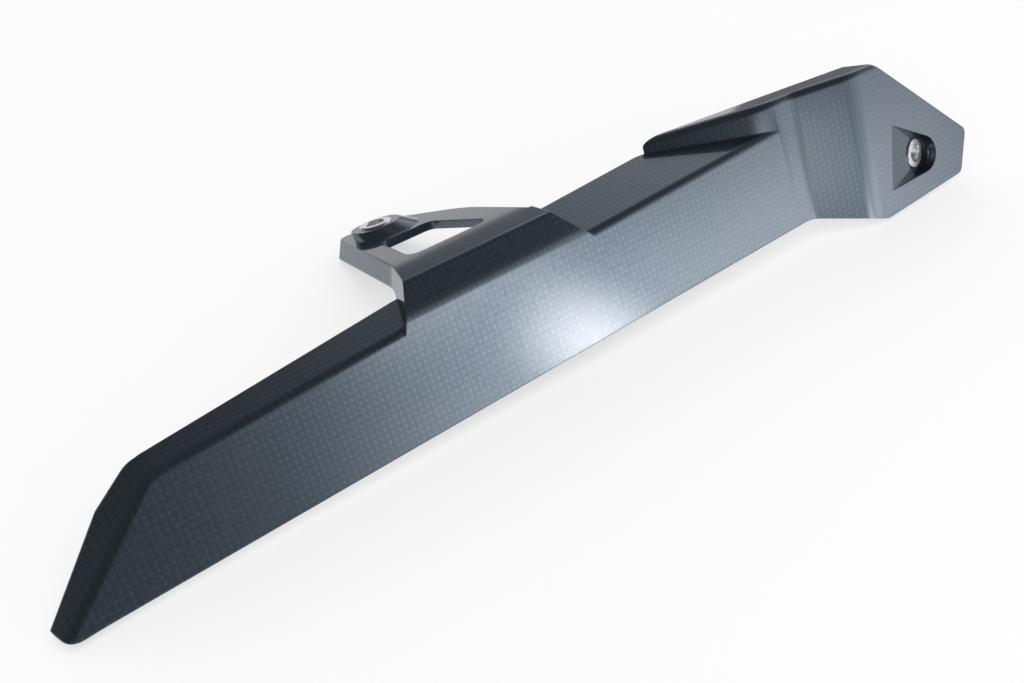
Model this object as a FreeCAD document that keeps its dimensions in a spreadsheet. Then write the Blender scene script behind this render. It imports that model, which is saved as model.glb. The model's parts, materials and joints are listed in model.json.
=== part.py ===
import FreeCAD, Part
import os
import re
import Sketcher
from FreeCAD import Placement, Rotation, Vector
from math import pi

# Motorcycle chain guard: one moulded carbon laminate shell with a turned bush at each
# of its two fixings. While the guard is drawn, X runs along it from the rounded tip to
# the flap, Y runs inwards from the outer panel towards the wheel, and Z runs up from
# the panel's lower edge to the folded top. The last step lays it on the table.

SIZES = {
    # laminate, and how far the blanks reach past the edges that are trimmed later
    "laminate": 1.6,
    "blank_below": 60,
    "blank_behind": 45,
    # blade, the long left part: outer panel, folded top flange and slanted end
    "lower_edge": 22.2,
    "tip_reach": 199.5,
    "tip_outline": 215,
    "tip_drop": 1.5,
    "tip_bend": 185,
    "tip_radius": 8,
    "corner_reach": 151.5,
    "corner_height": 19.3,
    "corner_radius": 15,
    "flange_height": 25.1,
    "flange_lean": 23,
    "roll_radius": 4,
    "tip_flange": 9.2,
    "end_flange": 14.8,
    "end_flange_reach": 170,
    "bend_flange": 11.2,
    "bend_flange_reach": 151,
    "blade_flange": 17.3,
    # saddle and tab: the raised middle and the triangular fixing tab behind it
    "step_reach": 36.5,
    "shoulder_foot": 26.2,
    "shoulder_roll": 12,
    "shoulder_lean": 24,
    "crest_height": 41,
    "crest_radius": 3,
    "boss_reach": -1.6,
    "boss_depth": 86.2,
    "boss_straight": 6,
    "boss_radius": 9,
    "boss_height": 4,
    "boss_foot_reach": 1.8,
    "boss_foot_depth": 84,
    "boss_foot_straight": 5,
    "boss_foot_radius": 13,
    "window_near_left": -16,
    "window_near_right": 26.5,
    "window_far_left": -10.5,
    "window_far_right": 16,
    "window_near": 31.6,
    "window_far": 68,
    "window_corner": 5,
    "lip_depth": 2.2,
    "tab_climb": 2.9,
    "waist_reach": 26.5,
    "waist_depth": 30,
    "waist_radius": 40,
    "tab_end_left": 16,
    "tab_end_right": 13,
    "tab_depth": 105,
    "tab_corner": 5,
    "far_reach": 35.5,
    "far_depth": 66,
    "far_radius": 60,
    "root_reach": 41.5,
    "root_depth": 24,
    "skirt_depth": 8.5,
    "skirt_radius": 8,
    "ramp_top": 38,
    "ramp_foot": 51,
    "ramp_skew": 12,
    "draft": 20,
    # nose: sloped ledge, raised roof, joggle and flap
    "ledge_height": 26.6,
    "ledge_climb": 2.37,
    "ledge_slope": 23.3,
    "ledge_roll": 4,
    "roof_height": 47.3,
    "roof_fall": 2.0,
    "roof_roll": 3.5,
    "wall_start": 107,
    "wall_depth": 30,
    "wall_bend": 167,
    "wall_radius": 40,
    "joggle_start": 184,
    "joggle_end": 216,
    "joggle_offset": 10,
    "valley_radius": 18,
    "ridge_radius": 40,
    "nose_flange": 28,
    "roof_flange": 18,
    "roof_flange_reach": 175,
    # recess in the flap round its fixing, and the two bushes
    "recess_start": 12.7,
    "recess_low": 21,
    "recess_lean": 8.3,
    "recess_side": 31,
    "recess_margin": 0.8,
    "recess_round": 9.3,
    "recess_slope": 11,
    "end_bush_along": 26,
    "end_bush_up": 10.5,
    "bush_flange": 15,
    "bush_flange_thick": 0.8,
    "bush_barrel": 11.5,
    "bush_barrel_long": 5,
    "bush_bore": 8.5,
    "bush_chamfer": 0.4,
    # outline of the lower edge and of the flap
    "peak_reach": 180,
    "peak_height": 17.2,
    "peak_radius": 25,
    "flap_low_reach": 222,
    "flap_low": 33.3,
    "flap_low_radius": 14,
    "flap_end_low_back": 9,
    "flap_end_low": 31,
    "flap_end_reach": 292,
    "flap_end": 10.6,
    "flap_slant": 41.6,
    "flap_corner": 4,
}


def bound(text):
    """The expression with each size name read from the sheet."""
    return re.sub(r"[a-z_]+", lambda m: "Sizes." + m[0] if m[0] in SIZES else m[0], text)


def make_sheet(doc):
    sheet = doc.addObject("Spreadsheet::Sheet", "Sizes")
    for row, (name, size) in enumerate(SIZES.items(), 1):
        sheet.set(f"A{row}", name)
        sheet.set(f"B{row}", str(size))
        sheet.setAlias(f"B{row}", name)
    doc.recompute()
    return sheet


def sized(doc, expression):
    """The number that an expression of size names gives now."""
    return float(doc.Sizes.evalExpression(bound(expression)))


def drive(thing, **expressions):
    """Bind properties, a dot in their names written as two underscores."""
    for path, expression in expressions.items():
        thing.setExpression(path.replace("__", "."), bound(expression))


def new_body(doc, name):
    body = doc.addObject("PartDesign::Body", name)
    body.Label = name
    return body


def new_sketch(body, name, role, axis=None, tilt=None, offset=None):
    """A sketch on one of the body's origin planes, tilted and offset where asked."""
    sketch = body.newObject("Sketcher::SketchObject", name)
    plane = next(f for f in body.Origin.OriginFeatures if f.Role == role)
    sketch.AttachmentSupport = [(plane, "")]
    sketch.MapMode = "FlatFace"
    if axis is not None:
        sketch.AttachmentOffset = Placement(Vector(), Rotation(axis, 1))
        sketch.setExpression("AttachmentOffset.Rotation.Angle", bound(tilt))
    for letter, expression in zip("xyz", offset or ()):
        sketch.setExpression("AttachmentOffset.Base." + letter, bound(expression))
    return sketch


def draw_polygon(sketch, corners):
    """Closed outline through corners, each a pair of expressions."""
    doc = sketch.Document
    points = [Vector(sized(doc, u), sized(doc, v), 0) for u, v in corners]
    first = sketch.GeometryCount
    count = len(corners)
    for here, there in zip(points, points[1:] + points[:1]):
        sketch.addGeometry(Part.LineSegment(here, there))
    for i in range(count):
        follows = first + (i + 1) % count
        sketch.addConstraint(Sketcher.Constraint("Coincident", first + i, 2, follows, 1))
    for i, (point, corner) in enumerate(zip(points, corners)):
        for kind, axis, number, text in zip(("DistanceX", "DistanceY"), (-2, -1), point, corner):
            if text == "0":
                sketch.addConstraint(Sketcher.Constraint("PointOnObject", first + i, 1, axis))
                continue
            index = sketch.addConstraint(Sketcher.Constraint(kind, -1, 1, first + i, 1, number))
            sketch.setExpression(f"Constraints[{index}]", bound(text))


def pad(body, sketch, name, length, **options):
    feature = body.newObject("PartDesign::Pad", name)
    feature.Profile = sketch
    feature.setExpression("Length", bound(length))
    for key, setting in options.items():
        setattr(feature, key, setting)
    body.Document.recompute()
    return feature


def pocket(body, sketch, name, length, **options):
    feature = body.newObject("PartDesign::Pocket", name)
    feature.Profile = sketch
    feature.setExpression("Length", bound(length))
    for key, setting in options.items():
        setattr(feature, key, setting)
    body.Document.recompute()
    return feature


def draw_slot(sketch, reach, depth, straight, radius):
    """Two half circles joined by straights that run along the sketch's own x."""
    doc = sketch.Document
    x, y, half, r = (sized(doc, e) for e in (reach, depth, straight + " / 2", radius))
    for side in (1, -1):
        start = -side * pi / 2
        sketch.addGeometry(Part.ArcOfCircle(
            Part.Circle(Vector(x + side * half, y, 0), Z_AXIS, r), start, start + pi))
    for side in (1, -1):
        sketch.addGeometry(Part.LineSegment(
            Vector(x + side * half, y + side * r, 0), Vector(x - side * half, y + side * r, 0)))
    for line, (first, last) in enumerate(((0, 1), (1, 0)), 2):
        sketch.addConstraint(Sketcher.Constraint("Tangent", first, 2, line, 1))
        sketch.addConstraint(Sketcher.Constraint("Tangent", line, 2, last, 1))
    sketch.addConstraint(Sketcher.Constraint("Equal", 0, 1))
    sketch.addConstraint(Sketcher.Constraint("Horizontal", 2))
    for kind, ends, number, text in (
        ("DistanceX", (-1, 1, 0, 3), x + half, f"{reach} + {straight} / 2"),
        ("DistanceX", (-1, 1, 1, 3), x - half, f"{reach} - {straight} / 2"),
        ("DistanceY", (-1, 1, 0, 3), y, depth),
        ("Radius", (0,), r, radius),
    ):
        index = sketch.addConstraint(Sketcher.Constraint(kind, *ends, number))
        sketch.setExpression(f"Constraints[{index}]", bound(text))


def fillet(body, name, wanted, radius):
    """Round the edges of the body's last feature that wanted() picks by their middle."""
    base = body.Tip
    names = [
        f"Edge{i}"
        for i, edge in enumerate(base.Shape.Edges, 1)
        if wanted(edge, edge.valueAt((edge.FirstParameter + edge.LastParameter) / 2))
    ]
    feature = body.newObject("PartDesign::Fillet", name)
    feature.Base = (base, names)
    feature.setExpression("Radius", bound(radius))
    body.Document.recompute()
    return feature


def along(edge, axis):
    """Is a straight edge parallel to the axis?"""
    if not isinstance(edge.Curve, Part.Line):
        return False
    return abs(edge.Curve.Direction.dot(axis)) > 0.99


def leans(edge):
    """Does an edge run more up than along?"""
    run = edge.tangentAt(edge.FirstParameter)
    return abs(run.z) > abs(run.x) + abs(run.y)


def prism(doc, name, role, length, corners, turn=()):
    """A straight block through both sides of an origin plane."""
    body = new_body(doc, name)
    sketch = new_sketch(body, name + "_outline", role, *turn)
    draw_polygon(sketch, corners)
    pad(body, sketch, name + "_pad", length, Midplane=True)
    return body


def inset(doc, body, distance="-laminate"):
    """The space inside a blank, one laminate in from its skin."""
    space = doc.addObject("Part::Offset", body.Name.replace("_blank", "_space"))
    space.Source = body
    space.Join = "Arc"
    drive(space, Value=distance)
    return space


def cut(doc, name, base, tool):
    shape = doc.addObject("Part::Cut", name)
    shape.Base = base
    shape.Tool = tool
    doc.recompute()
    return shape


def join(doc, kind, name, shapes):
    """The fuse or the common of a list of objects."""
    shape = doc.addObject("Part::Multi" + kind, name)
    shape.Shapes = shapes
    doc.recompute()
    return shape


X_AXIS, Y_AXIS, Z_AXIS = Vector(1, 0, 0), Vector(0, 1, 0), Vector(0, 0, 1)
TINY = 0.01


def make_blade(doc):
    """Panel and folded flange of the left part, with the slanted end."""
    body = new_body(doc, "blade_blank")
    sketch = new_sketch(body, "blade_side", "XZ_Plane")
    slant = "(tip_reach - corner_reach) / (corner_height + lower_edge)"
    climb = "(flange_height - corner_height) / (corner_reach - step_reach)"
    inner = "(3 * laminate - waist_reach)"
    draw_polygon(sketch, [
        (f"-tip_reach - (blank_below - lower_edge) * {slant}", "-blank_below"),
        ("-corner_reach", "corner_height"),
        (inner, f"flange_height + (step_reach + {inner}) * {climb}"),
        (inner, "-blank_below"),
    ])
    feature = pad(body, sketch, "blade_pad", "blank_behind", Reversed=True)
    drive(feature, TaperAngle="flange_lean")
    doc.recompute()
    corner = Vector(-sized(doc, "corner_reach"), 0, sized(doc, "corner_height"))
    fillet(body, "blade_corner", lambda edge, mid: any(
        v.Point.distanceToPoint(corner) < TINY for v in edge.Vertexes) and mid.y > TINY,
        "corner_radius")
    low = -sized(doc, "blank_below") + TINY
    inside = sized(doc, inner) - TINY
    fillet(body, "blade_roll", lambda edge, mid: abs(mid.y) < TINY
           and mid.z > low and mid.x < inside, "roll_radius")
    return body


def make_blade_trim(doc):
    """What lies behind the blade flange's rear edge."""
    body = new_body(doc, "blade_trim")
    sketch = new_sketch(body, "blade_rear", "XY_Plane")
    draw_polygon(sketch, [
        ("-tip_outline - blank_below", "tip_flange"),
        ("-tip_reach", "tip_flange"),
        ("-end_flange_reach", "end_flange"),
        ("-bend_flange_reach", "bend_flange"),
        ("-step_reach", "blade_flange"),
        ("0", "blade_flange"),
        ("0", "2 * blank_behind"),
        ("-tip_outline - blank_below", "2 * blank_behind"),
    ])
    pad(body, sketch, "blade_trim_pad", "4 * blank_below", Midplane=True)
    return body


def make_bracket(doc):
    """Raised saddle and the tab behind it, over the full depth of the blank."""
    body = new_body(doc, "profile_blank")
    profile = new_sketch(body, "bracket_profile", "YZ_Plane")
    foot = "(shoulder_foot + shoulder_roll * tan(shoulder_lean / 2))"
    crest = (f"((crest_height - {foot}) * tan(shoulder_lean)"
             " / (1 - tan(shoulder_lean) * tan(tab_climb)))")
    rear = "(tab_depth + blank_behind)"
    draw_polygon(profile, [
        ("0", "-blank_below"),
        ("0", foot),
        (crest, f"crest_height + {crest} * tan(tab_climb)"),
        (rear, f"crest_height + {rear} * tan(tab_climb)"),
        (rear, "-blank_below"),
    ])
    pad(body, profile, "bracket_pad", "4 * ramp_foot", Midplane=True)
    base = sized(doc, foot)
    fillet(body, "shoulder", lambda edge, mid: along(edge, X_AXIS)
           and abs(mid.y) < TINY and abs(mid.z - base) < TINY, "shoulder_roll")
    deck = sized(doc, "crest_height")
    fillet(body, "crest", lambda edge, mid: along(edge, X_AXIS)
           and TINY < mid.y < base and mid.z > deck, "crest_radius")
    return body


TAB_PLANE = (X_AXIS, "tab_climb", ("0", "0", "crest_height"))


def make_boss(doc, name, wall):
    """Oval raised boss with sloping flanks, less a wall all round and on top."""
    body = new_body(doc, name)
    foot = new_sketch(body, name + "_foot", "XY_Plane", *TAB_PLANE)
    draw_slot(foot, "boss_foot_reach", "boss_foot_depth", "boss_foot_straight",
              f"boss_foot_radius - {wall}")
    axis, tilt, _ = TAB_PLANE
    rise = f"(boss_height - {wall})"
    top = new_sketch(body, name + "_top", "XY_Plane", axis, tilt, (
        "0", f"-{rise} * sin(tab_climb)", f"crest_height + {rise} * cos(tab_climb)"))
    draw_slot(top, "boss_reach", "boss_depth", "boss_straight", f"boss_radius - {wall}")
    pad(body, foot, name + "_root", "3 * laminate", Reversed=True)
    flank = body.newObject("PartDesign::AdditiveLoft", name + "_flank")
    flank.Profile = foot
    flank.Sections = [top]
    flank.Ruled = True
    doc.recompute()
    return body


def make_window(doc, name, above, below):
    """Block over the tab's window, from above the tab to a depth below it."""
    body = new_body(doc, name)
    sketch = new_sketch(body, name + "_plan", "XY_Plane", *TAB_PLANE)
    corners = [
        ("window_near_left", "window_near"),
        ("window_near_right", "window_near"),
        ("window_far_right", "window_far"),
        ("window_far_left", "window_far"),
    ]
    draw_polygon(sketch, corners)
    feature = pad(body, sketch, name + "_pad", above)
    feature.SideType = "Two sides"
    drive(feature, Length2=below)
    doc.recompute()
    fillet(body, name + "_corners", lambda edge, mid: edge.Vertexes[0].Point.z
           * edge.Vertexes[-1].Point.z and abs(edge.tangentAt(edge.FirstParameter).z) > 0.9,
           "window_corner")
    return body


def make_tab_plan(doc):
    """The saddle and tab seen from above, their sides drafted outwards to the foot."""
    body = new_body(doc, "tab_plan_blank")
    outline = new_sketch(body, "tab_plan", "XY_Plane", X_AXIS, "0", ("0", "0", "crest_height"))
    draw_polygon(outline, [
        ("-step_reach", "0"),
        ("-waist_reach", "waist_depth"),
        ("-tab_end_left", "tab_depth"),
        ("tab_end_right", "tab_depth"),
        ("far_reach", "far_depth"),
        ("root_reach", "root_depth"),
        ("ramp_foot + blank_behind", "root_depth"),
        ("ramp_foot + blank_behind", "-2 * blank_behind"),
        ("-step_reach - 2 * blank_behind * (step_reach - waist_reach) / waist_depth",
         "-2 * blank_behind"),
    ])
    feature = pad(body, outline, "tab_plan_pad", "blank_below / 2")
    feature.SideType = "Two sides"
    drive(feature, Length2="2 * blank_below", TaperAngle="-draft", TaperAngle2="draft")
    doc.recompute()
    for name, u, v, radius in (
        ("waist", "-waist_reach", "waist_depth", "waist_radius"),
        ("far", "far_reach", "far_depth", "far_radius"),
        ("tab_left", "-tab_end_left", "tab_depth", "tab_corner"),
        ("tab_right", "tab_end_right", "tab_depth", "tab_corner"),
    ):
        spot = Part.Vertex(sized(doc, u), sized(doc, v), sized(doc, "crest_height"))
        fillet(body, name + "_round", lambda edge, mid, spot=spot: abs(
            edge.tangentAt(edge.FirstParameter).z) > 0.5
            and edge.distToShape(spot)[0] < TINY, radius)
    return body


def make_ledge(doc):
    """Outer panel and the ledge that leans inwards above it, right of the saddle."""
    body = new_body(doc, "ledge_blank")
    sketch = new_sketch(body, "ledge_profile", "YZ_Plane", X_AXIS, "-ledge_climb",
                        ("0", "ledge_height", "ramp_foot"))
    draw_polygon(sketch, [
        ("0", "-2 * blank_below"),
        ("0", "0"),
        ("blank_behind", "blank_behind * tan(ledge_slope)"),
        ("blank_behind", "-2 * blank_below"),
    ])
    sketch.recompute()
    feature = pad(body, sketch, "ledge_pad", "wall_bend + 3 * laminate - ramp_foot")
    feature.SideType = "Two sides"
    drive(feature, Length2="ramp_foot - ramp_top + 3 * laminate")
    doc.recompute()
    top = sized(doc, "ledge_height / 2")
    fillet(body, "ledge_crease", lambda edge, mid: abs(mid.y) < TINY
           and mid.z > top and not along(edge, Z_AXIS) and not leans(edge), "ledge_roll")
    return body


def make_upper(doc):
    """Raised part of the nose: slanted wall, roof, joggle and flap."""
    body = new_body(doc, "upper_blank")
    sketch = new_sketch(body, "upper_plan", "XY_Plane", Y_AXIS, "roof_fall",
                        ("0", "0", "roof_height + wall_start * tan(roof_fall)"))
    behind = "blank_behind"
    far = "(flap_end_reach + blank_behind)"
    draw_polygon(sketch, [
        (f"wall_start - ({behind} - wall_depth) * (wall_bend - wall_start) / wall_depth",
         behind),
        ("wall_bend", "0"),
        ("joggle_start", "0"),
        ("joggle_end", "-joggle_offset"),
        (far, "-joggle_offset"),
        (far, behind),
    ])
    pad(body, sketch, "upper_pad", "3 * blank_below", Reversed=True)

    spread = sized(doc, "joggle_offset / 2")

    def bend_at(u, v):
        spot = Vector(sized(doc, u), sized(doc, v), 0)
        return lambda edge, mid: leans(edge) and abs(mid.y - spot.y) < TINY and abs(
            mid.x - spot.x) < spread
    fillet(body, "wall_bend", bend_at("wall_bend", "0"), "wall_radius")
    fillet(body, "valley", bend_at("joggle_start", "0"), "valley_radius")
    fillet(body, "ridge", bend_at("joggle_end", "-joggle_offset"), "ridge_radius")
    back = sized(doc, behind)
    top = body.Tip.Shape.BoundBox.ZMax - sized(doc, "roof_height / 3")
    end = sized(doc, far)
    fillet(body, "roof_edge", lambda edge, mid: mid.z > top and mid.y < back - 1
           and mid.x < end - 1, "roof_roll")
    add_recess(doc, body)
    return body


RECESS_REACH = "(joggle_end + recess_start)"
RECESS_LONG = f"(flap_end_reach - recess_margin - {RECESS_REACH})"


def add_recess(doc, body):
    """Hollow in the flap, flush at its left side and sinking to a round right end."""
    hinge = Vector(sized(doc, "recess_lean"), sized(doc, "recess_side"), 0)
    spread = sized(doc, "joggle_offset / 2")
    sketch = new_sketch(body, "recess_floor", "XZ_Plane", hinge, "recess_slope",
                        (RECESS_REACH, "-recess_low", "joggle_offset"))
    draw_polygon(sketch, [("0", "0"), (RECESS_LONG, "0"), ("recess_lean", "recess_side")])
    pocket(body, sketch, "recess", "2 * joggle_offset", Reversed=True)
    point = sized(doc, f"{RECESS_REACH} + {RECESS_LONG}")
    fillet(body, "recess_end", lambda edge, mid: abs(mid.x - point) < spread and mid.y < 0
           and abs(edge.tangentAt(edge.FirstParameter).y) > 0.9, "recess_round")


def make_nose_trim(doc):
    """What lies behind the rear edge of the ledge and the roof."""
    body = new_body(doc, "nose_trim")
    sketch = new_sketch(body, "nose_rear", "XY_Plane")
    draw_polygon(sketch, [
        ("0", "nose_flange - laminate"),
        ("wall_start", "nose_flange"),
        ("roof_flange_reach", "roof_flange"),
        ("flap_end_reach", "-laminate"),
        ("2 * flap_end_reach", "-laminate"),
        ("2 * flap_end_reach", "3 * blank_behind"),
        ("0", "3 * blank_behind"),
    ])
    pad(body, sketch, "nose_trim_pad", "4 * blank_below", Midplane=True)
    return body


def make_outline(doc):
    """Everything inside the guard's side view, with its rounded free corners."""
    slant = "((tip_reach - corner_reach) / (corner_height + lower_edge))"
    top = "(2 * blank_below)"
    body = prism(doc, "outline_block", "XZ_Plane", "4 * tab_depth", [
        ("-tip_outline", "-lower_edge - tip_drop"),
        ("-tip_bend", "-lower_edge"),
        ("peak_reach", "-peak_height"),
        ("flap_low_reach", "-flap_low"),
        ("flap_end_reach - flap_end_low_back", "-flap_end_low"),
        ("flap_end_reach", "-flap_end"),
        (f"flap_end_reach - ({top} + flap_end) / tan(flap_slant)", top),
        (f"-tip_outline + ({top} + lower_edge + tip_drop) * {slant}", top),
    ])
    for name, u, v, radius in (
        ("tip", "-tip_outline", "-lower_edge - tip_drop", "tip_radius"),
        ("peak", "peak_reach", "-peak_height", "peak_radius"),
        ("flap_low", "flap_low_reach", "-flap_low", "flap_low_radius"),
        ("flap_end_low", "flap_end_reach - flap_end_low_back", "-flap_end_low", "flap_corner"),
        ("flap_end", "flap_end_reach", "-flap_end", "flap_corner"),
    ):
        x, z = sized(doc, u), sized(doc, v)
        fillet(body, name + "_round", lambda edge, mid, x=x, z=z: along(edge, Y_AXIS)
               and abs(mid.x - x) < TINY and abs(mid.z - z) < TINY, radius)
    return body


def make_under_tab(doc):
    """What lies below the foot of the skirt that runs round the tab."""
    foot = "(crest_height - skirt_depth + {} * tan(tab_climb))"
    body = prism(doc, "under_tab", "YZ_Plane", "12 * ramp_foot", [
        ("blade_flange", "-4 * blank_below"),
        ("blade_flange", foot.format("blade_flange")),
        ("2 * tab_depth", foot.format("2 * tab_depth")),
        ("2 * tab_depth", "-4 * blank_below"),
    ])
    near = sized(doc, "blade_flange")
    fillet(body, "skirt_round", lambda edge, mid: along(edge, X_AXIS)
           and abs(mid.y - near) < TINY and mid.z > 0, "skirt_radius")
    return body


def make_rear(doc, name, start):
    """Everything further in than a depth, where a stretch's own folds end."""
    return prism(doc, name, "YZ_Plane", "12 * ramp_foot", [
        (start, "-4 * blank_below"),
        (start, "4 * blank_below"),
        ("2 * tab_depth", "4 * blank_below"),
        ("2 * tab_depth", "-4 * blank_below"),
    ])


def make_ramp(doc):
    """What lies right of the saddle's sloping right end."""
    slope = "(ramp_foot - ramp_top) / (crest_height - ledge_height)"
    return prism(doc, "ramp_blank", "XZ_Plane", "16 * blank_behind", [
        (f"ramp_top - (2 * blank_below - crest_height) * {slope}", "2 * blank_below"),
        (f"ramp_foot + (ledge_height + 3 * blank_below) * {slope}", "-3 * blank_below"),
        ("12 * ramp_foot", "-3 * blank_below"),
        ("12 * ramp_foot", "2 * blank_below"),
    ], (Y_AXIS, "-ramp_skew"))


def tab_seat(doc):
    """Where the tab's bush sits: the top of the boss, its axis square to the tab."""
    tilt = Rotation(X_AXIS, sized(doc, "tab_climb"))
    plane = Placement(Vector(0, 0, sized(doc, "crest_height")), tilt)
    spot = Vector(*(sized(doc, e) for e in ("boss_reach", "boss_depth", "boss_height")))
    return plane.multiply(Placement(spot, Rotation()))


def end_seat(doc):
    """Where the flap's bush sits: the floor of the recess, its axis square to it."""
    side = Placement(Vector(), Rotation(X_AXIS, 90))
    hinge = Vector(sized(doc, "recess_lean"), sized(doc, "recess_side"), 0)
    corner = Vector(*(sized(doc, e) for e in (RECESS_REACH, "-recess_low", "joggle_offset")))
    floor = Placement(corner, Rotation(hinge, sized(doc, "recess_slope")))
    spot = Vector(sized(doc, "end_bush_along"), sized(doc, "end_bush_up"), 0)
    return side.multiply(floor).multiply(Placement(spot, Rotation()))


def make_bush(doc, name):
    """Turned flanged bush: the flange rests on the shell, the barrel passes through it."""
    body = new_body(doc, name)
    sketch = new_sketch(body, name + "_section", "XZ_Plane")
    draw_polygon(sketch, [
        ("bush_bore / 2", "-bush_barrel_long"),
        ("bush_barrel / 2", "-bush_barrel_long"),
        ("bush_barrel / 2", "0"),
        ("bush_flange / 2", "0"),
        ("bush_flange / 2", "bush_flange_thick"),
        ("bush_bore / 2", "bush_flange_thick"),
    ])
    turned = body.newObject("PartDesign::Revolution", name + "_turned")
    turned.Profile = sketch
    turned.ReferenceAxis = (sketch, ["V_Axis"])
    doc.recompute()
    ends = [sized(doc, e) for e in ("-bush_barrel_long", "bush_flange_thick")]
    names = [f"Edge{i}" for i, edge in enumerate(turned.Shape.Edges, 1)
             if isinstance(edge.Curve, Part.Circle)
             and min(abs(edge.Curve.Center.z - z) for z in ends) < TINY]
    chamfer = body.newObject("PartDesign::Chamfer", name + "_edges")
    chamfer.Base = (turned, names)
    drive(chamfer, Size="bush_chamfer")
    doc.recompute()
    return body


def make_hole(doc, name, seat):
    """Hole through the laminate that a bush's barrel fills."""
    hole = doc.addObject("Part::Cylinder", name)
    drive(hole, Radius="bush_barrel / 2", Height="2 * bush_barrel_long")
    middle = Placement(Vector(0, 0, -sized(doc, "bush_barrel_long")), Rotation())
    hole.Placement = seat.multiply(middle)
    doc.recompute()
    return hole


def make_shell(doc, holes):
    """Fold each stretch as an outer blank and the space inside it, then trim and pierce."""
    blade, ledge, upper = make_blade(doc), make_ledge(doc), make_upper(doc)
    profile, plan, boss = make_bracket(doc), make_tab_plan(doc), make_boss(doc, "boss_blank", "0")
    ramp = make_ramp(doc)
    window = make_window(doc, "window_recess", "2 * boss_height", "lip_depth")
    opening = make_window(doc, "window_hole", "2 * boss_height", "2 * blank_below")

    bossed = join(doc, "Fuse", "bossed", [profile, boss])
    recessed = cut(doc, "recessed", bossed, window)
    bracket = cut(doc, "bracket", join(doc, "Common", "core", [recessed, plan]), ramp)
    nose = join(doc, "Fuse", "nose", [ledge, upper])
    outer = join(doc, "Fuse", "outer", [
        cut(doc, "blade_cut", blade, make_blade_trim(doc)),
        cut(doc, "bracket_cut", bracket, make_under_tab(doc)),
        cut(doc, "nose_cut", nose, make_nose_trim(doc)),
    ])

    boss_space = make_boss(doc, "boss_space", "laminate")
    hollow = join(doc, "Fuse", "hollow", [inset(doc, profile), boss_space])
    lipped = cut(doc, "lipped", hollow, inset(doc, window, "laminate"))
    core_space = join(doc, "Common", "core_space", [lipped, inset(doc, plan)])
    bracket_space = cut(doc, "bracket_space", core_space, inset(doc, ramp, "laminate"))
    blade_space = cut(doc, "blade_space_cut", inset(doc, blade),
                      make_rear(doc, "blade_rear_block", "blade_flange"))
    ledge_space = cut(doc, "ledge_space_cut", inset(doc, ledge),
                      make_rear(doc, "ledge_rear_block", "nose_flange"))
    inner = join(doc, "Fuse", "inner",
                 [blade_space, ledge_space, inset(doc, upper), bracket_space])

    folded = cut(doc, "folded", outer, inner)
    trimmed = join(doc, "Common", "trimmed", [folded, make_outline(doc)])
    pierced = join(doc, "Fuse", "pierced", [opening] + holes)
    return cut(doc, "guard_shell", trimmed, pierced)


def lay_down(doc, shapes):
    """Placement that lays the part on its tip, its flap and the end of its tab."""
    points = shapes[0].tessellate(0.1)[0]
    zones = (
        lambda p: p.x < -sized(doc, "corner_reach"),
        lambda p: p.x > sized(doc, "joggle_end"),
        lambda p: p.y > sized(doc, "far_depth"),
    )
    grouped = [[p for p in points if inside(p)] for inside in zones]
    up = Z_AXIS
    for _ in range(CONTACT_PASSES):
        tip, flap, tab = (min(group, key=up.dot) for group in grouped)
        up = (flap - tip).cross(tab - tip).normalize()
    turn = Rotation(X_AXIS, Vector(), up, "ZXY").inverted()
    turned = Part.makeCompound([s.transformed(Placement(Vector(), turn).Matrix) for s in shapes])
    box = turned.optimalBoundingBox()
    return Placement(Vector(-box.Center.x, -box.Center.y, -box.ZMin), turn)


CONTACT_PASSES = 6

doc = FreeCAD.newDocument("chain_guard")
make_sheet(doc)
seats = {"tab_bush": tab_seat(doc), "end_bush": end_seat(doc)}
holes = [make_hole(doc, name + "_hole", seat) for name, seat in seats.items()]
shell = make_shell(doc, holes)
bushes = [make_bush(doc, name) for name in seats]
for bush in bushes:
    bush.Placement = seats[bush.Name]
pieces = [shell] + bushes
laid = lay_down(doc, [piece.Shape for piece in pieces])
for piece in pieces:
    piece.Placement = laid.multiply(piece.Placement)
doc.recompute()

failed = [o.Name for o in doc.Objects if "Invalid" in o.State or "Error" in o.State]
failed += [p.Label for p in pieces if p.Shape.isNull() or not p.Shape.isValid()]
if failed:
    raise RuntimeError("failed: " + ", ".join(failed))
os.makedirs("parts", exist_ok=True)
for piece in pieces:
    piece.Shape.exportStep(f"parts/{piece.Label}.step")
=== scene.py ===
import json
import math

import bmesh
import bpy
from mathutils import Euler, Matrix, Vector


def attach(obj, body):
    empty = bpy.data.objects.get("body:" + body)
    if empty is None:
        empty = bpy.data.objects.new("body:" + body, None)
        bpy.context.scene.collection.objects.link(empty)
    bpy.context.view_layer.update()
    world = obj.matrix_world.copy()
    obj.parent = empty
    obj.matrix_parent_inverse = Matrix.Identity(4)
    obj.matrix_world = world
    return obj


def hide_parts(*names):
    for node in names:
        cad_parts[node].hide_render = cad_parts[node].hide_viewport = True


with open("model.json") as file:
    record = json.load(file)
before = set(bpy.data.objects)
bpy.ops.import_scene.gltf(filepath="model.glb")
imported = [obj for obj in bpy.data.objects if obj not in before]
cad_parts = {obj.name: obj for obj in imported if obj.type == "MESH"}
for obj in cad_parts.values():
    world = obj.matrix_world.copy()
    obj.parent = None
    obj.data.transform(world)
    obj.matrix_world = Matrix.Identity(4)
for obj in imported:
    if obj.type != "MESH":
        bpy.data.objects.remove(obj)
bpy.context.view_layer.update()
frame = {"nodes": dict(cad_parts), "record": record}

# Guard shell: one moulded piece of carbon laminate, plain weave laid at 45 degrees to
# its length under a thick clear coat. The mould gives it its folds, joggle, recess and
# raised boss; the window and the two bush holes are cut afterwards.

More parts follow.
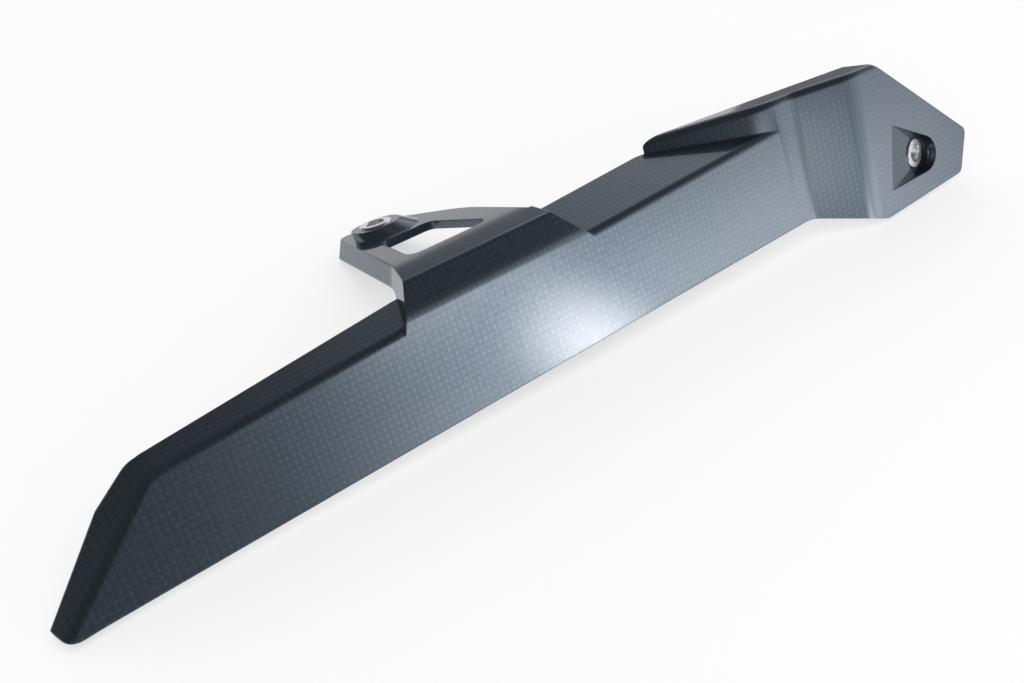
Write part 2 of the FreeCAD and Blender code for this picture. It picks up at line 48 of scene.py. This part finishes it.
RESTING_TURN = Euler([math.radians(a) for a in (-31.0612, -0.432716, 0)]).to_matrix()
WELD_GAP = 2e-6
SLIVER_WIDTH = 1e-6
FOLD_ANGLE = math.radians(24)
FLAT_MATCH = math.cos(math.radians(0.7))
BROAD_WIDTH = 0.016
END_FACING = 0.75
LEAST_UPRIGHT = 0.05

WEAVE_TURN = math.radians(45)
TOW_WIDTH = 0.002
TOW_HEIGHT = 0.0002
TOW_CROWN = 0.5
TOW_RISE = 0.7
WEAVE_RELIEF = 0.06
EDGE_ROUND = 0.0009
# Warp and weft tones: the same blue-grey tows, with the weft cells painted lighter as painted
# sheen for the fibres' glint; the side tone sets how much lighter.
WARP_SHADE_TONE = (0.062, 0.082, 0.106, 1)
WEFT_SHEEN_TONE = (0.092, 0.121, 0.156, 1)
LOW_TONE = 0.30
# Painted highlight: the crown tone paints the top of each tow lighter than its hollows.
CROWN_HIGHLIGHT_TONE = 0.36
WEFT_SHEEN_CONTRAST = 0.64
GRAZING_TINT = (0.35, 0.38, 0.42, 1)
PATCH_SCALE = 420.0
PATCH_LOW = 0.3
PATCH_HIGH = 0.7
SMOOTHEST = 0.30
ROUGHEST = 0.38


def flat_regions(shape):
    """For each face, the normal and area of the broad flat panel that it is part of."""
    region_of = {}
    panels = []
    for first in shape.faces:
        if first in region_of:
            continue
        members = [first]
        region_of[first] = len(panels)
        for face in members:
            for edge in face.edges:
                for beside in edge.link_faces:
                    if beside not in region_of and beside.normal.dot(first.normal) > FLAT_MATCH:
                        region_of[beside] = len(panels)
                        members.append(beside)
        area = sum(face.calc_area() for face in members)
        rim = sum(edge.calc_length() for face in members for edge in face.edges
                  if len({region_of.get(beside) for beside in edge.link_faces}) > 1)
        # A square panel is as wide as four times its area over its rim.
        broad = 4 * area > rim * BROAD_WIDTH
        panels.append((first.normal.copy(), area) if broad else None)
    return {face: panels[number] for face, number in region_of.items()}


def corner_normals(shape, fold_angle):
    """A normal for each corner: level on broad panels, smooth round bends, split at folds."""
    flat = flat_regions(shape)
    limit = math.cos(fold_angle)
    normals = []
    for face in shape.faces:
        for corner in face.loops:
            around = [f for f in corner.vert.link_faces if f.normal.dot(face.normal) > limit]
            broad = [flat[f] for f in around if flat[f]]
            if flat[face]:
                normals.append(flat[face][0])
            elif broad:
                normals.append(max(broad, key=lambda panel: panel[1])[0])
            else:
                blend = sum((f.normal * f.calc_area() for f in around), Vector())
                normals.append(blend.normalized())
    return normals


def finished_copy(node, name, fold_angle):
    """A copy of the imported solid's surface with its triangles joined and its bends smooth."""
    mesh = frame["nodes"][node].data.copy()
    mesh.name = name
    shape = bmesh.new()
    shape.from_mesh(mesh)
    bmesh.ops.remove_doubles(shape, verts=shape.verts, dist=WELD_GAP)
    bmesh.ops.dissolve_degenerate(shape, edges=shape.edges, dist=SLIVER_WIDTH)
    for face in shape.faces:
        face.smooth = True
    normals = corner_normals(shape, fold_angle)
    shape.to_mesh(mesh)
    shape.free()
    mesh.materials.clear()
    mesh.normals_split_custom_set(normals)
    piece = bpy.data.objects.new(name, mesh)
    bpy.context.collection.objects.link(piece)
    return piece


def lay_cloth(mesh):
    """UV map that follows the cloth over the folds, in metres along and across it."""
    cloth = mesh.uv_layers.new(name="cloth")
    upright = RESTING_TURN.transposed()
    places = [upright @ v.co for v in mesh.vertices]
    for face in mesh.polygons:
        flat = upright @ face.normal
        for corner in face.loop_indices:
            place = places[mesh.loops[corner].vertex_index]
            if abs(flat.x) > END_FACING:
                cloth.data[corner].uv = (place.y, place.z)
                continue
            lean = upright @ mesh.corner_normals[corner].vector
            unfolded = (1 - min(abs(lean.y), 1)) / max(abs(lean.z), LEAST_UPRIGHT)
            cloth.data[corner].uv = (place.x, place.z + min(unfolded, 1) * place.y)


def wire(tree, kind, **inputs):
    """A node with each input set, or linked where the value is another node's socket."""
    node = tree.nodes.new(kind)
    for key, value in inputs.items():
        if key.startswith("set_"):
            setattr(node, key[4:], value)
            continue
        numbered = key[0] == "i" and key[1:].isdigit()
        socket = node.inputs[int(key[1:]) if numbered else key.replace("_", " ")]
        if isinstance(value, bpy.types.NodeSocket):
            tree.links.new(value, socket)
        else:
            socket.default_value = value
    return node


def reckon(tree, operation, *values):
    """The result of a math node on numbers or sockets."""
    inputs = {f"i{k}": v for k, v in enumerate(values)}
    return wire(tree, "ShaderNodeMath", set_operation=operation, **inputs).outputs[0]


def carbon_laminate():
    """Blue-grey carbon tows in a plain weave under a thick clear coat, with painted sheen in the
    colour: weft cells and tow crowns are painted lighter, standing in for the fibres' glint.
    """
    material = bpy.data.materials.new("carbon_laminate")
    material.use_nodes = True
    tree = material.node_tree
    shader = tree.nodes["Principled BSDF"]

    cloth = wire(tree, "ShaderNodeUVMap", set_uv_map="cloth").outputs[0]
    turned = wire(tree, "ShaderNodeMapping", Vector=cloth, Rotation=(0, 0, WEAVE_TURN),
                  Scale=(1 / TOW_WIDTH,) * 3)
    split = wire(tree, "ShaderNodeSeparateXYZ", Vector=turned.outputs[0])
    warp, weft = split.outputs[0], split.outputs[1]
    crossing = reckon(tree, "ADD", reckon(tree, "FLOOR", warp), reckon(tree, "FLOOR", weft))
    over = reckon(tree, "FLOORED_MODULO", crossing, 2.0)

    def hump(first, second):
        """A rise and fall over each crossing, read from first, or from second where over is 1."""
        picked = wire(tree, "ShaderNodeMix", i0=over, i2=first, i3=second).outputs[0]
        return reckon(tree, "SINE", reckon(tree, "MULTIPLY", picked, math.pi))

    in_warp = reckon(tree, "FRACT", warp)
    in_weft = reckon(tree, "FRACT", weft)
    crown = reckon(tree, "POWER", hump(in_warp, in_weft), TOW_CROWN)
    rise = reckon(tree, "POWER", hump(in_weft, in_warp), TOW_RISE)
    height = reckon(tree, "MULTIPLY", crown, rise)

    edge = wire(tree, "ShaderNodeBevel", Radius=EDGE_ROUND)
    bump = wire(tree, "ShaderNodeBump", Strength=WEAVE_RELIEF, Distance=TOW_HEIGHT,
                Height=height, Normal=edge.outputs[0])
    tree.links.new(bump.outputs[0], shader.inputs["Normal"])
    tree.links.new(edge.outputs[0], shader.inputs["Coat Normal"])

    # Painted highlight: tow crowns are painted lighter than the hollows between them.
    crown_highlight = reckon(tree, "MULTIPLY_ADD", height, CROWN_HIGHLIGHT_TONE, LOW_TONE)
    # Painted sheen: weft cells are painted lighter and warp cells darker, more so where the tow
    # rises.
    side = reckon(tree, "MULTIPLY", reckon(tree, "SUBTRACT", over, 0.5),
                  reckon(tree, "MULTIPLY", height, WEFT_SHEEN_CONTRAST))
    weave_and_sheen_colour = wire(tree, "ShaderNodeMix", set_data_type="RGBA",
                  i0=reckon(tree, "ADD", crown_highlight, side), i6=WARP_SHADE_TONE, i7=WEFT_SHEEN_TONE)
    tree.links.new(weave_and_sheen_colour.outputs[2], shader.inputs["Base Color"])

    uneven = wire(tree, "ShaderNodeTexNoise", Vector=cloth, Scale=PATCH_SCALE, Detail=2.0)
    matt = wire(tree, "ShaderNodeMapRange", Value=uneven.outputs[0], From_Min=PATCH_LOW,
                From_Max=PATCH_HIGH, To_Min=SMOOTHEST, To_Max=ROUGHEST)
    tree.links.new(matt.outputs[0], shader.inputs["Roughness"])
    shader.inputs["Metallic"].default_value = 0.9
    shader.inputs["Specular Tint"].default_value = GRAZING_TINT
    shader.inputs["Coat Weight"].default_value = 0.9
    shader.inputs["Coat Roughness"].default_value = 0.06
    return material


shell = finished_copy("guard_shell", "moulded_shell", FOLD_ANGLE)
lay_cloth(shell.data)
shell.data.materials.append(carbon_laminate())
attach(shell, "root")
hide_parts("guard_shell")

# Fixing bushes: two turned aluminium sleeves with a thin flange, glued into the tab and
# the flap so that the screws clamp on metal and not on the laminate.

FLANGE_FOLD = math.radians(30)
RING_SCALE = (9000.0, 30.0, 1.0)
RING_DEPTH = 0.00004
RING_RELIEF = 0.08
GROOVE_TONE = (0.70, 0.705, 0.72, 1)
METAL_TONE = (0.88, 0.88, 0.885, 1)


def turned_aluminium():
    """Bright metal with the fine rings that the lathe tool leaves."""
    material = bpy.data.materials.new("turned_aluminium")
    material.use_nodes = True
    tree = material.node_tree
    shader = tree.nodes["Principled BSDF"]
    lathe = wire(tree, "ShaderNodeUVMap", set_uv_map="lathe").outputs[0]
    stretched = wire(tree, "ShaderNodeMapping", Vector=lathe, Scale=RING_SCALE).outputs[0]
    rings = wire(tree, "ShaderNodeTexNoise", Vector=stretched, Detail=3.0).outputs[0]
    tone = wire(tree, "ShaderNodeMix", set_data_type="RGBA", i0=rings, i6=GROOVE_TONE,
                i7=METAL_TONE)
    tree.links.new(tone.outputs[2], shader.inputs["Base Color"])
    grain = wire(tree, "ShaderNodeBump", Strength=RING_RELIEF, Distance=RING_DEPTH, Height=rings)
    tree.links.new(grain.outputs[0], shader.inputs["Normal"])
    shader.inputs["Metallic"].default_value = 1
    shader.inputs["Roughness"].default_value = 0.28
    return material


def lay_rings(mesh, centre, axis):
    """UV map that counts the way out from the bush's axis and along it, then along alone."""
    lathe = mesh.uv_layers.new(name="lathe")
    for face in mesh.polygons:
        for corner in face.loop_indices:
            place = mesh.vertices[mesh.loops[corner].vertex_index].co - centre
            along = place.dot(axis)
            lathe.data[corner].uv = ((place - along * axis).length + along, along)


bush_metal = turned_aluminium()
bores = {mount["name"]: mount for mount in frame["record"]["mounts"]}
for node in ("tab_bush", "end_bush"):
    bush = finished_copy(node, "turned_" + node, FLANGE_FOLD)
    bore = bores[node.replace("bush", "bore")]
    lay_rings(bush.data, Vector(bore["pos_m"]), Vector(bore["axis"]).normalized())
    bush.data.materials.append(bush_metal)
    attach(bush, "root")
    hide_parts(node)

# Table: flat, painted white, under the guard. It ends a little behind the guard, so that
# the roof and the tab reflect the darker room beyond its edge.

TABLE_PLAN = ((-1.5, -0.5), (1.5, -0.5), (1.5, -0.05), (0.27, 0.09), (0.27, 0.24), (-1.5, 0.24))
TABLE_PAINT = (0.95, 0.95, 0.95, 1)
WHITE = (1, 1, 1, 1)
GLOW_SHARE = 0.60


def straight_rays(tree):
    """A Light Path node, and a socket that is 1 on camera, glossy and transmission rays."""
    path = wire(tree, "ShaderNodeLightPath")
    bounced = reckon(tree, "ADD", path.outputs["Is Glossy Ray"],
                     path.outputs["Is Transmission Ray"])
    either = reckon(tree, "ADD", path.outputs["Is Camera Ray"], bounced)
    return path, reckon(tree, "MINIMUM", 1.0, either)


def white_table():
    """White paint that takes the guard's shadow, with part of it glowing to look white."""
    material = bpy.data.materials.new("white_table")
    material.use_nodes = True
    tree = material.node_tree
    tree.nodes.clear()
    straight = straight_rays(tree)[1]
    diffuse = wire(tree, "ShaderNodeBsdfDiffuse", Color=TABLE_PAINT)
    glow = wire(tree, "ShaderNodeEmission", Color=WHITE, Strength=1.0)
    mixed = wire(tree, "ShaderNodeMixShader", i0=reckon(tree, "MULTIPLY", straight, GLOW_SHARE),
                 i1=diffuse.outputs[0], i2=glow.outputs[0])
    wire(tree, "ShaderNodeOutputMaterial", Surface=mixed.outputs[0])
    return material


floor_mesh = bpy.data.meshes.new("table")
floor_mesh.from_pydata([(x, y, 0) for x, y in TABLE_PLAN], [], [tuple(range(len(TABLE_PLAN)))])
floor_mesh.materials.append(white_table())
floor = bpy.data.objects.new("table", floor_mesh)
bpy.context.collection.objects.link(floor)

# Room: a white surround, lighter behind the guard than in front of it. Glossy rays find
# it nearly black, but for a bright band on the right between the table and the ceiling.

SURROUND_WHITE = 0.965
ROOM_LEVEL = 0.97
BEHIND_LEVEL = 0.65
DARK_LEVEL = 0.073
BAND_LEVEL = 1.40
RIGHT_SIDE = (0.05, 0.8)
CEILING = (0.3, 0.8)
TABLE_LINE = (-0.05, 0.25)
BELOW_TABLE = 0.12


def ease(tree, value, low, high, at_low=0.0, at_high=1.0):
    """A soft step from at_low to at_high as the value goes from low to high."""
    return wire(tree, "ShaderNodeMapRange", set_interpolation_type="SMOOTHSTEP", Value=value,
                From_Min=low, From_Max=high, To_Min=at_low, To_Max=at_high).outputs[0]


world = bpy.data.worlds.new("studio")
bpy.context.scene.world = world
world.use_nodes = True
tree = world.node_tree
tree.nodes.clear()
path, straight = straight_rays(tree)
direction = wire(tree, "ShaderNodeTexCoord").outputs["Generated"]
aim = wire(tree, "ShaderNodeSeparateXYZ", Vector=direction)
room = reckon(tree, "MULTIPLY_ADD", aim.outputs["Y"], BEHIND_LEVEL, ROOM_LEVEL)
level = wire(tree, "ShaderNodeMix", i0=straight, i2=room, i3=SURROUND_WHITE).outputs[0]
on_right = ease(tree, aim.outputs["X"], *RIGHT_SIDE)
below_ceiling = ease(tree, aim.outputs["Z"], *CEILING, at_low=1.0, at_high=0.0)
above_table = ease(tree, aim.outputs["Z"], *TABLE_LINE, at_low=BELOW_TABLE)
band = reckon(tree, "MULTIPLY", on_right, reckon(tree, "MULTIPLY", below_ceiling, above_table))
mirrored = reckon(tree, "MULTIPLY_ADD", band, BAND_LEVEL, DARK_LEVEL)
shade = wire(tree, "ShaderNodeMix", i0=path.outputs["Is Glossy Ray"], i2=1.0,
             i3=mirrored).outputs[0]
back = wire(tree, "ShaderNodeBackground", Color=WHITE,
            Strength=reckon(tree, "MULTIPLY", level, shade))
wire(tree, "ShaderNodeOutputWorld", Surface=back.outputs[0])

# Lamps: a wide soft box in front, a small bright one that draws the bright patch on the
# long panel, and a card close to the nose.


def soft_box(name, azimuth, elevation, distance, width, height, level, edge, turn=0,
             target=(0, 0, 0.03)):
    """Soft box in a direction, in degrees from +X, level times white at its middle."""
    lamp = bpy.data.lights.new(name, "AREA")
    lamp.shape = "RECTANGLE"
    lamp.size, lamp.size_y = width, height
    lamp.energy = level * math.pi * width * height
    lamp.use_nodes = True
    tree = lamp.node_tree
    spot = wire(tree, "ShaderNodeNewGeometry").outputs["Parametric"]
    fade = 1.0
    for side in wire(tree, "ShaderNodeSeparateXYZ", Vector=spot).outputs[:2]:
        off_middle = reckon(tree, "ABSOLUTE", reckon(tree, "SUBTRACT", side, 0.5))
        inset = reckon(tree, "SUBTRACT", 0.5, off_middle)
        fade = reckon(tree, "MULTIPLY", fade, ease(tree, inset, 0.0, edge))
    tree.links.new(fade, tree.nodes["Emission"].inputs["Strength"])
    round_z = math.radians(azimuth)
    up = math.radians(elevation)
    away = Vector((math.cos(round_z) * math.cos(up), math.sin(round_z) * math.cos(up),
                   math.sin(up)))
    holder = bpy.data.objects.new(name, lamp)
    holder.location = Vector(target) + away * distance
    facing = away.to_track_quat("Z", "Y").to_matrix()
    holder.rotation_euler = (facing @ Matrix.Rotation(math.radians(turn), 3, "Z")).to_euler()
    bpy.context.collection.objects.link(holder)


soft_box("front_lamp", azimuth=-56, elevation=1.5, distance=1.4, width=1.44, height=0.58,
         level=2.75, edge=0.35)
soft_box("bright_strip", azimuth=-60.3, elevation=5.5, distance=1.4, width=0.25, height=0.38,
         level=13.5, edge=0.5, turn=34)
soft_box("fill_card", azimuth=-86, elevation=17, distance=0.5, width=0.34, height=0.18,
         level=2.9, edge=0.45, target=(0.14, -0.03, 0.04))

# Camera: above and in front of the blade's tip, looking along the guard. Its place and
# lens were fitted to the photo.

camera = bpy.data.objects.new("camera", bpy.data.cameras.new("camera"))
camera.data.sensor_width = 36
camera.data.lens = 39.09
camera.location = (-0.25561, -0.29167, 0.34102)
camera.rotation_euler = [math.radians(a) for a in (45.6, -1.999, -38.264)]
bpy.context.collection.objects.link(camera)
bpy.context.scene.camera = camera
bpy.context.scene.view_settings.view_transform = "Standard"
